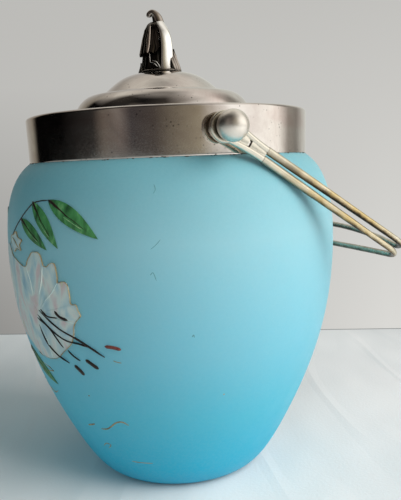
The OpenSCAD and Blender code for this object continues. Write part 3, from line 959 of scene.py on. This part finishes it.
SCUFFS = [
    (0.30, 0.03, (-113.2, 126.4), (-112.8, 124.6), (-113.4, 123.2)),
    (0.20, 0.03, (-114.6, 104.4), (-113.2, 105.8), (-111.8, 107.6)),
    (0.26, 0.03, (-115.2, 95.4), (-114.3, 96.2), (-113.5, 93.4)),
    (0.36, 0.03, (-104, 72.2), (-103.5, 73.0), (-103.3, 72.0)),
]


def make_leaves():
    """Painted leaves with a light stroke each; gives the dark strokes on them."""
    leaves, glints, shades = [], [], []
    for base, tip, width, bow in LEAVES:
        span, rise = tip[0] - base[0], tip[1] - base[1]

        def spot(run, climb, aside=0.0, base=base, span=span, rise=rise):
            return base[0] + span * run + aside, base[1] + rise * climb

        leaves.append(leaf_patch(base, tip, width, bow))
        for share, wide, high in ((0.0, 1.7, 0.34), (0.1, 0.9, 0.36), (0.35, 0.5, 0.34)):
            curve = 0.35 * bow * abs(span) * (1 - share)
            shades.append(stroke([
                spot(share, share),
                spot(share + 0.2, share + 0.17, curve * 0.4),
                spot(share + 0.42, share + 0.42, curve * 0.6),
            ], wide, high, 0.2))
        glints.append(stroke([spot(0.34, 0.40), spot(0.52, 0.56), spot(0.78, 0.80)], 0.40, 0.30))
    add_mesh("enamel_leaves", "root", joined(*leaves), LEAF_PAINT, sharp=60)
    add_mesh("enamel_leaf_lights", "root", joined(*glints), LEAF_LIGHT, sharp=80)
    return shades


def make_painting():
    """Enamelled spray: stem, leaves, a large ragged flower, stamens and gilt scrolls."""
    shades = make_leaves()
    edge = smooth_path([(a, z, 0) for a, z in PETALS + PETALS[:1]], 4)[:-1]
    ragged = 0.7
    for p in edge:
        p.x += ragged * noise.noise(p * 0.9)
        p.y += ragged * noise.noise(p * 0.8 + Vector((5, 0, 0)))
    bud = smooth_path(BUD + BUD[:1], 2)[:-1]
    petals = joined(flower_patch(HEART, edge), flower_patch(BUD_HEART, bud))
    add_mesh("enamel_petals", "root", petals, PETAL_PAINT, sharp=60)
    add_mesh("enamel_lines", "root", joined(*shades, strokes(LINES)), LINE_PAINT, sharp=80)
    add_mesh("enamel_anther", "root", strokes(RED_ANTHER), RED_PAINT, sharp=80)

    lights = []
    for angle, z in FOLD_TIPS:
        inner = (HEART[0] + (angle - HEART[0]) * 0.35, HEART[1] + (z - HEART[1]) * 0.35)
        middle = ((angle + inner[0]) / 2 + 0.8, (z + inner[1]) / 2)
        lights.append(stroke([(angle, z), middle, inner], 0.4, 0.36, 0.15))
    add_mesh("enamel_lights", "root", joined(*lights), PALE_PAINT, sharp=80)
    seen = [p.xy for p in edge[8:109:2]]
    rims = [stroke(seen, 0.24, 0.40), stroke(BUD + BUD[:1], 0.26, 0.36)]
    add_mesh("enamel_gilding", "root", joined(*rims, strokes(GILDING)), GILT_PAINT, sharp=80)
    add_mesh("glass_scuffs", "root", strokes(SCUFFS), SCUFF, sharp=80)


# ---- CAD nodes that stay

def dress_frame():
    """Gives the CAD nodes that are carried over their materials."""
    for material, names in (
        (CEMENT, ["cement_ring"]),
        (SILVER, ["lid_ledge", "lid_sleeve", "pivot_boss_near", "pivot_boss_far"]),
        (HARDWARE, ["finial_stud", "finial_washer", "finial_nut"]),
    ):
        for name in names:
            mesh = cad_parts[name].data
            mesh.materials.clear()
            mesh.materials.append(material)


# ---- camera, floor, light

CAMERA_AZIMUTH = 18.5       # degrees clockwise from straight in front, seen from above
CAMERA_DISTANCE = 294.8     # from the jar's axis
CAMERA_DROP = 21.7          # below the collar's top edge
CAMERA_YAW = 2.41           # degrees to the right of the axis
CAMERA_PITCH = 7.33         # degrees down
CAMERA_ROLL = 2.35          # degrees of tilt
CAMERA_LENS = 47.6
FLOOR_SIZE = 3              # metres from below the camera to the sides and the front
WALL_AT = 0.5208            # metres from below the camera to the cloth's far edge
WALL_SLANT = 0.147          # how much nearer that edge comes per metre to the right
WINDOW_AZIMUTH = 56         # degrees to the right of the camera, seen from the jar
WINDOW_ELEVATION = 32
WINDOW_DISTANCE = 0.85      # metres
WINDOW_SIZE = 0.7
WINDOW_POWER = 9            # watts


def at_camera(z):
    """Moves to the camera's place over the floor, at a height in millimetres."""
    a = radians(CAMERA_AZIMUTH)
    return Matrix.Translation(mm(-CAMERA_DISTANCE * sin(a), -CAMERA_DISTANCE * cos(a), z))


def make_camera():
    """Camera where the view was taken from: close, low and a little tilted."""
    data = bpy.data.cameras.new("camera")
    data.lens = CAMERA_LENS
    data.sensor_width = 36
    data.clip_start = 0.01
    data.clip_end = 50
    camera = add_object("camera", data)
    camera.matrix_world = (
        at_camera(JAR_H - CAMERA_DROP)
        @ rotation(-CAMERA_AZIMUTH - CAMERA_YAW, "Z")
        @ rotation(90 - CAMERA_PITCH, "X")
        @ rotation(-CAMERA_ROLL, "Z")
    )
    bpy.context.scene.camera = camera


def room_tone(tree, heading, elevation):
    """Grey of the wall behind the jar: shaded low on the left, brighter on the right."""
    right = spread(tree, calc(tree, "SINE", heading), -0.315, 0.315)
    low_left = spread(tree, elevation, -0.24, 0.12, 0.24, 0.50)
    low_right = spread(tree, elevation, -0.24, 0.22, 0.70, 0.54)
    span = calc(tree, "SUBTRACT", low_right, low_left)
    tone = calc(tree, "ADD", low_left, calc(tree, "MULTIPLY", span, right))
    return node(tree, "CombineColor", {
        "Red": tone, "Green": calc(tree, "MULTIPLY", tone, 0.99),
        "Blue": calc(tree, "MULTIPLY", tone, 0.95),
    }).outputs["Color"]


def make_floor():
    """White cloth on a table; the far edge is where the pale wall begins."""
    made, tree, at = start_material("floor", Specular_IOR_Level=0.1)
    weave = cloud(tree, at, 700, 3)
    drape = cloud(tree, stretched(tree, at, 1, 0.5, 1), 13, 2, 0.45)
    crease = cloud(tree, stretched(tree, at, 1, 0.22, 1), 19, 1, 0.4)
    crease = calc(tree, "ABSOLUTE", calc(tree, "SUBTRACT", crease, 0.5))
    folds = bump(tree, drape, 0.014, 0.45, bump(tree, weave, 0.0002, 0.5))
    folds = bump(tree, spread(tree, crease, 0, 0.05, 1, 0), 0.002, 0.10, folds)
    cloth = ramp(tree, drape, [(0.35, (0.76, 0.745, 0.73)), (0.65, (0.84, 0.82, 0.80))])
    axes = split(tree, at)
    past = calc(tree, "ADD", axes["Y"], calc(tree, "MULTIPLY", axes["X"], WALL_SLANT))
    # A thin dark line along the far edge, where the wall begins: painted shade in the corner.
    corner_shade_line = spread(tree, past, WALL_AT - 0.003, WALL_AT - 0.001, 0, 0.75)
    cloth = mix(tree, corner_shade_line, cloth, (0.10, 0.10, 0.10))
    connect(made, Base_Color=cloth, Normal=folds, Roughness=spread(tree, weave, 0, 1, 0.8, 1))
    side, drift = FLOOR_SIZE, FLOOR_SIZE * WALL_SLANT
    corners = [(-side, -side, 0), (side, -side, 0), (side, WALL_AT - drift, 0), (-side, WALL_AT + drift, 0)]
    mesh = bpy.data.meshes.new("floor")
    mesh.from_pydata(corners, [], [(0, 1, 2, 3)])
    mesh.materials.append(made)
    floor = add_object("floor", mesh)
    floor.matrix_world = at_camera(0) @ rotation(-CAMERA_AZIMUTH, "Z")


def make_world():
    """Room light by direction: a bright side to the right, a dark side to the left."""
    world = bpy.data.worlds.new("room")
    bpy.context.scene.world = world
    world.use_nodes = True
    world.cycles.sampling_method = "NONE"
    tree = world.node_tree
    tree.nodes.clear()
    direction = node(tree, "TexCoord").outputs["Generated"]
    turned = node(tree, "VectorRotate", {
        "Vector": direction, "Angle": radians(CAMERA_AZIMUTH),
    }, rotation_type="Z_AXIS").outputs["Vector"]
    axes = split(tree, turned)
    heading = calc(tree, "ARCTAN2", axes["X"], calc(tree, "MULTIPLY", axes["Y"], -1.0))
    # Place round the room: 0 and 1 beyond the jar, 0.25 left, 0.5 behind the camera, 0.75 right
    share = spread(tree, heading, -pi, pi)
    walls = ramp(tree, share, [
        (0.00, (0.60, 0.59, 0.57)),
        (0.125, (0.32, 0.30, 0.25)),
        (0.150, (0.002, 0.002, 0.002)),
        (0.250, (0.002, 0.002, 0.002)),
        (0.338, (0.035, 0.034, 0.033)),
        (0.362, (0.20, 0.18, 0.155)),
        (0.398, (0.225, 0.195, 0.18)),
        (0.425, (0.072, 0.065, 0.068)),
        (0.475, (0.095, 0.082, 0.074)),
        (0.570, (0.40, 0.36, 0.27)),
        (0.640, (1.35, 1.35, 1.33)),
        (0.770, (1.40, 1.39, 1.33)),
        (0.812, (0.42, 0.41, 0.37)),
        (0.850, (0.32, 0.32, 0.29)),
        (0.900, (0.68, 0.69, 0.64)),
    ])
    elevation = calc(tree, "ARCSINE", axes["Z"])
    upper = ramp(tree, share, [
        (0.00, (0.80, 0.78, 0.72)),
        (0.15, (0.76, 0.74, 0.68)),
        (0.23, (0.05, 0.045, 0.04)),
        (0.40, (0.010, 0.010, 0.010)),
        (0.52, (0.05, 0.045, 0.04)),
        (0.62, (0.40, 0.38, 0.35)),
        (0.75, (0.95, 0.93, 0.88)),
        (1.00, (0.80, 0.78, 0.72)),
    ])
    zenith = (0.30, 0.29, 0.27)
    room = mix(tree, spread(tree, elevation, 0.62, 0.95), walls, upper)
    room = mix(tree, spread(tree, elevation, 1.15, 1.45), room, zenith)
    soft = ramp(tree, share, [
        (0.00, (0.12, 0.12, 0.12)),
        (0.25, (0.20, 0.50, 0.58)),
        (0.50, (0.38, 0.41, 0.42)),
        (0.75, (0.75, 0.74, 0.71)),
        (1.00, (0.12, 0.12, 0.12)),
    ])
    soft = mix(tree, spread(tree, elevation, 0.5, 1.4), soft, (0.20, 0.20, 0.20))
    ahead = calc(tree, "ARCTAN2", axes["X"], axes["Y"])
    path = node(tree, "LightPath").outputs
    colour = mix(tree, path["Is Diffuse Ray"], room, soft)
    colour = mix(tree, path["Is Camera Ray"], colour, room_tone(tree, ahead, elevation))
    light = node(tree, "Background", {"Color": colour, "Strength": 1.0})
    node(tree, "OutputWorld", {"Surface": light.outputs["Background"]})


def make_window():
    """Square soft light that looks at the middle of the jar."""
    data = bpy.data.lights.new("window", "AREA")
    data.energy = WINDOW_POWER
    data.size = WINDOW_SIZE
    lamp = add_object("window", data)
    lamp.visible_glossy = False
    a, e = radians(WINDOW_AZIMUTH - CAMERA_AZIMUTH), radians(WINDOW_ELEVATION)
    away = Vector((sin(a) * cos(e), -cos(a) * cos(e), sin(e)))
    lamp.location = away * WINDOW_DISTANCE + mm(0, 0, JAR_H / 2)
    lamp.rotation_mode = "QUATERNION"
    lamp.rotation_quaternion = away.to_track_quat("Z", "Y")


make_camera()
make_floor()
make_world()
make_window()
bpy.context.scene.view_settings.view_transform = "Standard"

dress_frame()
make_jar()
make_collar()
make_crumbs()
make_lid()
for pivot_side, side_word in ((-1, "near"), (1, "far")):
    make_screw(pivot_side, side_word)
    make_eye(pivot_side, side_word)
make_wires()
make_finial_base()
make_finial_strap()
make_finial_leaves()
make_finial_bud()
make_painting()
